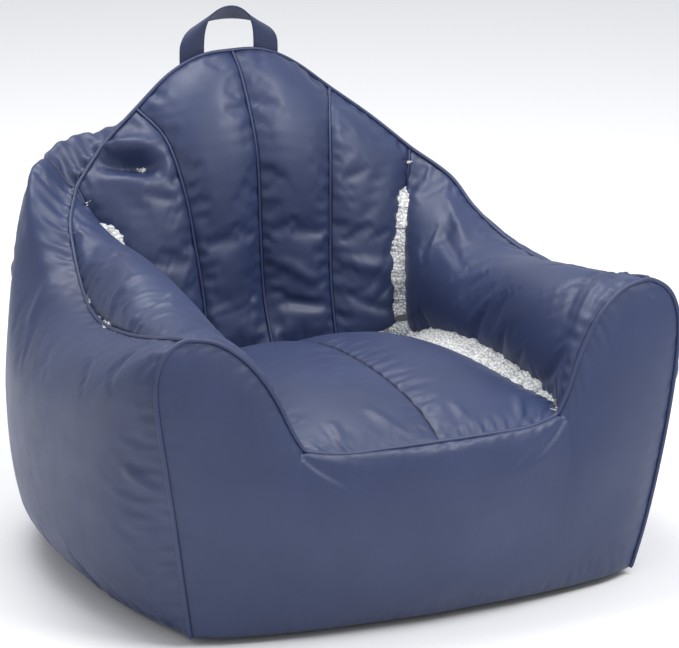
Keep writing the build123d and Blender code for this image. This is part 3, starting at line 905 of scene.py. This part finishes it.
@dataclass(frozen=True)
class StudioFloor:
    """Plain pale floor."""

    name: str

    def material(self) -> bpy.types.Material:
        """The finished material."""
        s = Shader(self.name)
        s.set(Base_Color=(0.86, 0.86, 0.87, 1.0), Roughness=0.7, Specular_IOR_Level=0.2)
        return s.material


# ---------------------------------------------------------------- the pieces
def dress(piece: bpy.types.Object, material: bpy.types.Material, slot: str, body: Body, *nodes: str) -> None:
    """Gives a piece its material, its body and the nodes that it stands for.

    Args:
        piece: the new piece.
        material: its finish.
        slot: the record's material slot; not used.
        body: the body it rides on.
        *nodes: the frame's nodes that it replaces.
    """
    piece.data.materials.clear()
    piece.data.materials.append(material)
    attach(piece, body.value)
    if nodes:
        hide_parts(*nodes)
    LOG.info("%s: %d faces", piece.name, len(piece.data.polygons))


@dataclass
class CoverPanels:
    """The cut panels of the cover, refined from the blown-up skin, folded and thickened."""

    cover: Cover
    cloth_thickness: float = 0.0018
    slot_half_width: float = 0.0056
    slot_z: tuple[float, float] = (0.092, 0.388)
    slot_reach: float = 0.028
    grids: dict[str, Array] = field(default_factory=dict)

    def refine(self) -> None:
        """Doubles each panel's grid both ways, then adds its folds and its seams' gathers."""
        for name, index in self.cover.panels.items():
            grid = doubled(doubled(self.cover.points[index], 0), 1)
            if name == Panel.BASE.value:
                self.grids[name] = grid
                continue
            flat, away, places = self.flat_places(grid)
            lift = np.zeros(grid.shape[:2])
            for fold in FOLDS:
                if fold.panel == name:
                    lift += fold.lift(flat)
            for salt, (place, distance) in enumerate(zip(places, away)):
                lift += (0.35 if name == Panel.FRONT.value else 0.8) * Gathers().lift(place, distance, salt)
            lift *= np.minimum(away.min(axis=0) / 0.010, 1.0)
            grid = grid + grid_normals(grid) * lift[..., None]
            grid[..., 2] = np.maximum(grid[..., 2], 0.0008)
            self.grids[name] = self.part_for_zip(grid) if "rear" in name else grid

    def flat_places(self, grid: Array) -> tuple[Array, Array, Array]:
        """Where a panel's points lie on the flat cloth.

        Args:
            grid: the panel's points.

        Returns:
            The flat coordinates; the distance to each of its four seams; and the place along each.
        """
        across, up = lengths(grid, 1), lengths(grid, 0)
        middle_column, middle_row = grid.shape[1] // 2, grid.shape[0] // 2
        flat = np.stack([across - across[:, middle_column:middle_column + 1],
                         up - up[middle_row:middle_row + 1]], axis=2)
        away = np.stack([across, across[:, -1:] - across, up, up[-1:] - up])
        return flat, away, np.stack([up, up, across, across])

    def part_for_zip(self, grid: Array) -> Array:
        """Moves the rear seam's two sides apart where the zip shows.

        Each side moves by the slot's half width, less and less over an exponential of the
        distance to the seam, and within the zip's height.
        """
        low, high = self.slot_z
        inside = np.clip(np.minimum(grid[..., 2] - low, high - grid[..., 2]) / 0.006, 0, 1)
        side = np.sign(grid[..., 0].sum())
        shift = self.slot_half_width * inside * np.exp(-np.abs(grid[..., 0]) / self.slot_reach)
        parted = grid.copy()
        parted[..., 0] += side * shift
        return parted

    def build(self, top: bpy.types.Material, base: bpy.types.Material) -> None:
        """Makes every panel as its own piece of cloth."""
        for name, grid in self.grids.items():
            is_base = name == Panel.BASE.value
            flat, away, _ = self.flat_places(grid)
            # painted shade along the seams: this value deepens the cloth's colour and falls off over a few
            # millimetres from the panel's edges
            seam = np.exp(-(away[2] if is_base else away.min(axis=0)) / 0.0035)
            rows, columns = grid.shape[:2]
            points, faces, uv = grid.reshape(-1, 3), grid_faces(rows, columns), flat.reshape(-1, 2)
            values = {"seam": seam}
            if is_base:
                keys = np.round(points / 1e-6).astype(np.int64)
                _, first, index = np.unique(keys, axis=0, return_index=True, return_inverse=True)
                points, uv, faces = points[first], points[first][:, :2], index.reshape(-1)[faces]
                values = {"seam": seam.reshape(-1)[first]}
            piece = new_object(f"{name}_cloth", points, faces, uv, values)
            wall = piece.modifiers.new("cloth_thickness", "SOLIDIFY")
            wall.thickness, wall.offset = self.cloth_thickness, -1.0
            dress(piece, base if is_base else top, "base_cloth" if is_base else "cover_cloth", Body.CHAIR, name)


@dataclass
class Cords:
    """The corded piping round the front and the rim, and the welts between the back's channels."""

    cover: Cover
    piping_radius: float = 0.0030
    welt_radius: float = 0.0022
    proud: float = 0.0016

    def build(self, material: bpy.types.Material) -> None:
        """Makes every cord along its seam."""
        for name, (runs, radius) in self.runs().items():
            line = self.cover.seam_line(runs, self.proud)
            line[:, 2] = np.maximum(line[:, 2], radius + 0.0005)
            points, faces, uv = tube(line, radius)
            # the cords carry no painted seam shade
            piece = new_object(f"{name}_cord", points, faces, uv, {"seam": np.zeros(len(points))})
            dress(piece, material, "piping_cloth", Body.CHAIR, name)

    def runs(self) -> dict[str, tuple[list[tuple[str, str]], float]]:
        """The panels' edges that each cord follows, and its radius."""
        inner, outer = Panel.CHANNEL_INNER, Panel.CHANNEL_OUTER
        rim = [(Panel.ARM.on("left"), "high"), (outer.on("left"), "high"), (inner.on("left"), "high"),
               (inner.on("right"), "high"), (outer.on("right"), "high"), (Panel.ARM.on("right"), "high")]
        front = [(Panel.FRONT.value, "left"), (Panel.FRONT.value, "high"), (Panel.FRONT.value, "right back")]
        return {
            "rim_piping": (rim, self.piping_radius),
            "front_piping": (front, self.piping_radius),
            "back_welt_far_left": ([(outer.on("left"), "left")], self.welt_radius),
            "back_welt_left": ([(inner.on("left"), "left")], self.welt_radius),
            "back_welt_centre": ([(inner.on("right"), "left")], self.welt_radius),
            "back_welt_right": ([(inner.on("right"), "right")], self.welt_radius),
            "back_welt_far_right": ([(outer.on("right"), "right")], self.welt_radius),
        }


@dataclass
class CarryHandle:
    """The webbing loop at the crest: it stands up and turns over by a quarter at each corner."""

    leg_x: float = 0.0575
    width: float = 0.038
    thickness: float = 0.0022
    pivot: Point = (0.0, 0.338, 0.632)
    rise: float = 0.069
    lean: float = 0.026
    root: float = 0.026

    def edges(self) -> tuple[Array, Array]:
        """The webbing's inner and outer edges, from one root over the loop to the other.

        At an angle round the loop, the inner edge is a half ellipse that rises as the sine to the
        power 0.6; the outer edge is wider, leans to the rear by the squared sine and rises less,
        so that the flat of the webbing turns from upright at the legs to level at the top.
        """
        turn = np.linspace(0, np.pi, 57)
        _, y, z = self.pivot
        near, far = self.leg_x - self.width / 2, self.leg_x + self.width / 2
        lift = self.rise * np.sin(turn).clip(0) ** 0.6
        inner = np.stack([near * np.cos(turn), y - 0.003 * np.sin(turn), z + lift], axis=1)
        outer = np.stack([far * np.cos(turn), y + self.lean * np.sin(turn) ** 2, z + 0.64 * lift], axis=1)
        drop = np.linspace(self.root, 0, 8, endpoint=False)[:, None] * np.array([0, 0, -1.0])
        return tuple(np.concatenate([edge[0] + drop, edge, edge[-1] + drop[::-1]]) for edge in (inner, outer))

    def build(self, webbing: bpy.types.Material, thread: bpy.types.Material) -> None:
        """Makes the loop and its stitched bars."""
        inner, outer = self.edges()
        share = np.linspace(0, 1, 11)[None, :, None]
        grid = inner[:, None] * (1 - share) + outer[:, None] * share
        across, along = lengths(grid, 1), lengths(grid, 0)
        middle = np.broadcast_to(along.mean(axis=1, keepdims=True), across.shape)
        uv = np.stack([across, middle], axis=2).reshape(-1, 2)
        loop = new_object("carry_handle_webbing", grid.reshape(-1, 3), grid_faces(*grid.shape[:2]), uv)
        wall = loop.modifiers.new("webbing_thickness", "SOLIDIFY")
        wall.thickness, wall.offset = self.thickness, 0.0
        edge = loop.modifiers.new("woven_edge", "BEVEL")
        edge.width, edge.segments, edge.limit_method = 0.0007, 2, "ANGLE"
        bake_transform(loop)
        loop.data.materials.append(webbing)
        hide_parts("carry_handle", "handle_roots")
        LOG.info("carry_handle_webbing: %d faces", len(loop.data.polygons))
        self.build_tacks(thread)

    def build_tacks(self, thread: bpy.types.Material) -> None:
        """Two zigzag bars of thread across each root, on both faces of the webbing."""
        _, y, z = self.pivot
        parts, flats = [], []
        steps = np.arange(29)
        for x in (-self.leg_x, self.leg_x):
            for face in (-1, 1):
                for down in (0.0075, 0.0135):
                    line = np.stack([x + (steps / 28 - 0.5) * (self.width - 0.008),
                                     np.full(29, y + face * (self.thickness / 2 + 0.0002)),
                                     z - down + 0.0012 * (-1.0) ** steps], axis=1)
                    points, faces, uv = tube(line, 0.00035, 6)
                    parts.append((points, faces))
                    flats.append(uv)
        points, faces = join_meshes(parts)
        tacks = new_object("handle_bar_tack_threads", points, faces, np.concatenate(flats))
        dress(tacks, thread, "thread", Body.CHAIR, "handle_bar_tacks")


@dataclass
class RefillZip:
    """The refill zip in the rear seam: woven tapes, a closed coil, end stops and its slider."""

    pitch: float = 0.0026
    wire: float = 0.00075

    def build(self, tape: bpy.types.Material, nylon: bpy.types.Material, metal: bpy.types.Material) -> None:
        """Makes the coil's loops and dresses the tapes, stops and slider that the frame holds."""
        low, high = (np.array(corner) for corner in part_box("zip_coil"))
        middle_y = (low[1] + high[1]) / 2
        depth = (high[1] - low[1]) / 2 - self.wire
        parts, flats = [], []
        for side, start in ((-1, 0.0), (1, 0.5)):
            turns = int((high[2] - low[2]) / self.pitch) - 1
            angle = np.linspace(0, 2 * np.pi * turns, 12 * turns + 1)
            line = np.stack([side * (high[0] * 0.42 + high[0] * 0.42 * np.cos(angle)),
                             middle_y + depth * np.sin(angle),
                             low[2] + self.pitch * (0.6 + start + angle / (2 * np.pi))], axis=1)
            points, faces, uv = tube(line, self.wire, 5)
            parts.append((points, faces))
            flats.append(uv)
        points, faces = join_meshes(parts)
        coil = new_object("zip_coil_loops", points, faces, np.concatenate(flats))
        dress(coil, nylon, "zip_coil", Body.CHAIR, "zip_coil")
        for node, material in (("zip_tape_left", tape), ("zip_tape_right", tape), ("zip_stops", metal),
                               ("zip_slider", metal)):
            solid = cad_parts[node]
            solid.data.materials.clear()
            solid.data.materials.append(material)
            LOG.info("%s: dressed", node)


@dataclass
class Inside:
    """The bead filling and the baffles, drawn in towards the skin.

    Their faces still bridge the skin's inward creases, so some filling shows beside the seat and in the arms.
    """

    panels: CoverPanels
    clearance: float = 0.012        # least distance of the filling's points to the skin
    baffle_nearer: float = 0.003    # the baffles may come this much nearer
    cell: float = 0.012             # edges longer than this are split
    split_rounds: int = 6
    same_point: float = 1e-5

    def build(self, beads: bpy.types.Material, lining: bpy.types.Material) -> None:
        """Makes each chamber's filling and each baffle."""
        grids = self.panels.grids.values()
        skin = new_object("skin_guide", *join_meshes([(grid.reshape(-1, 3), grid_faces(*grid.shape[:2]))
                                                      for grid in grids]))
        for name in ("base_filling", "back_filling", "left_arm_filling", "right_arm_filling"):
            piece = self.drawn_in(name, f"{name}_beads", skin, self.clearance)
            dress(piece, beads, "bead_filling", Body.CHAIR, name)
        for name in ("level_baffle", "back_baffle", "left_arm_baffle", "right_arm_baffle"):
            piece = self.drawn_in(name, f"{name}_sheet", skin, self.clearance - self.baffle_nearer)
            dress(piece, lining, "baffle_cloth", Body.CHAIR, name)
        bpy.data.objects.remove(skin)

    def drawn_in(self, node: str, name: str, skin: bpy.types.Object, clearance: float) -> bpy.types.Object:
        """A copy of a node's solid whose points are kept inside the skin.

        Args:
            node: the frame's node.
            name: the new piece's name.
            skin: the skin to stay inside, as one mesh of all the panels.
            clearance: the least distance to the skin.

        Returns:
            The new piece.
        """
        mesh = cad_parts[node].data.copy()
        mesh.name = name
        tool = bmesh.new()
        tool.from_mesh(mesh)
        bmesh.ops.remove_doubles(tool, verts=tool.verts, dist=self.same_point)
        for _ in range(self.split_rounds):
            long = [edge for edge in tool.edges if edge.calc_length() > self.cell]
            if long:
                bmesh.ops.subdivide_edges(tool, edges=long, cuts=1)
                bmesh.ops.triangulate(tool, faces=[face for face in tool.faces if len(face.verts) > 3])
        tool.to_mesh(mesh)
        tool.free()
        piece = bpy.data.objects.new(name, mesh)
        bpy.context.scene.collection.objects.link(piece)
        wrap = piece.modifiers.new("inside_skin", "SHRINKWRAP")
        wrap.target, wrap.wrap_method, wrap.wrap_mode, wrap.offset = skin, "NEAREST_SURFACEPOINT", "INSIDE", clearance
        settled = bpy.data.meshes.new_from_object(piece.evaluated_get(bpy.context.evaluated_depsgraph_get()))
        piece.modifiers.clear()
        piece.data = settled
        settled.name = name
        return piece


# ---------------------------------------------------------------- stage, lights and camera
@dataclass
class Studio:
    """A pale floor, soft lights and the camera."""

    azimuth: float = -24.2
    elevation: float = 17.4
    distance: float = 6.0
    lens: float = 228.6
    target: Point = (0.019, -0.008, 0.319)

    def build(self) -> None:
        """Makes the stage."""
        size = 30.0
        corners = np.array([[-size, -size, 0], [size, -size, 0], [size, size, 0], [-size, size, 0]])
        floor = new_object("studio_floor", corners, np.array([[0, 1, 2, 3]]))
        floor.data.materials.append(StudioFloor("studio_floor").material())
        self.light("key", (1.3, -1.7, 3.1), 1.8, 95.0)
        self.light("fill", (-2.8, -1.8, 1.5), 2.4, 14.0)
        self.light("top", (-0.5, 0.9, 3.1), 1.8, 70.0)
        world = bpy.data.worlds.new("studio")
        world.use_nodes = True
        world.node_tree.nodes["Background"].inputs[0].default_value = (0.95, 0.97, 1.0, 1.0)
        world.node_tree.nodes["Background"].inputs[1].default_value = 0.62
        bpy.context.scene.world = world
        bpy.context.scene.view_settings.view_transform = "Standard"
        self.camera()

    def light(self, name: str, place: Point, size: float, power: float) -> None:
        """A square soft light that faces the chair's middle."""
        lamp = bpy.data.lights.new(name, "AREA")
        lamp.size, lamp.energy = size, power
        holder = bpy.data.objects.new(name, lamp)
        holder.location = place
        holder.rotation_euler = (Vector((0, 0, 0.35)) - Vector(place)).to_track_quat("-Z", "Y").to_euler()
        bpy.context.scene.collection.objects.link(holder)

    def camera(self) -> None:
        """The camera, a long way off with a long lens."""
        lens = bpy.data.cameras.new("camera")
        lens.lens, lens.clip_end = self.lens, 100.0
        turn, lift = np.radians(self.azimuth), np.radians(self.elevation)
        towards = Vector((np.sin(turn) * np.cos(lift), -np.cos(turn) * np.cos(lift), np.sin(lift)))
        holder = bpy.data.objects.new("camera", lens)
        holder.location = Vector(self.target) + towards * self.distance
        holder.rotation_euler = (-towards).to_track_quat("-Z", "Y").to_euler()
        bpy.context.scene.collection.objects.link(holder)
        bpy.context.scene.camera = holder


def main() -> None:
    """Builds the chair from its skin outwards, then the studio."""
    cover = Cover(Seams())
    cover.weld()
    LOG.info("cover skin: %d points", len(cover.points))
    cover.inflate()
    cover.settle()
    panels = CoverPanels(cover)
    panels.refine()
    panels.build(CoatedCloth("cover_cloth").material(),
                 CoatedCloth("base_cloth", deep=(0.010, 0.013, 0.030), light=(0.022, 0.028, 0.055)).material())
    Cords(cover).build(CoatedCloth("piping_cloth", deep=(0.016, 0.025, 0.075), light=(0.030, 0.045, 0.118),
                                   pitch=0.0007, crumple=0.08).material())
    thread = Nylon("sewing_thread", deep=(0.016, 0.024, 0.070), light=(0.034, 0.048, 0.120), roughness=0.5)
    CarryHandle().build(Webbing("handle_webbing").material(), thread.material())
    RefillZip().build(Webbing("zip_tape", rib=0.0012, warp=0.0008).material(), Nylon("zip_nylon").material(),
                      DarkMetal("zip_metal").material())
    Inside(panels).build(Beads("foam_beads").material(), LiningCloth("baffle_lining").material())
    Studio().build()


if __name__ == "__main__":
    logging.basicConfig(level=logging.INFO)
    main()
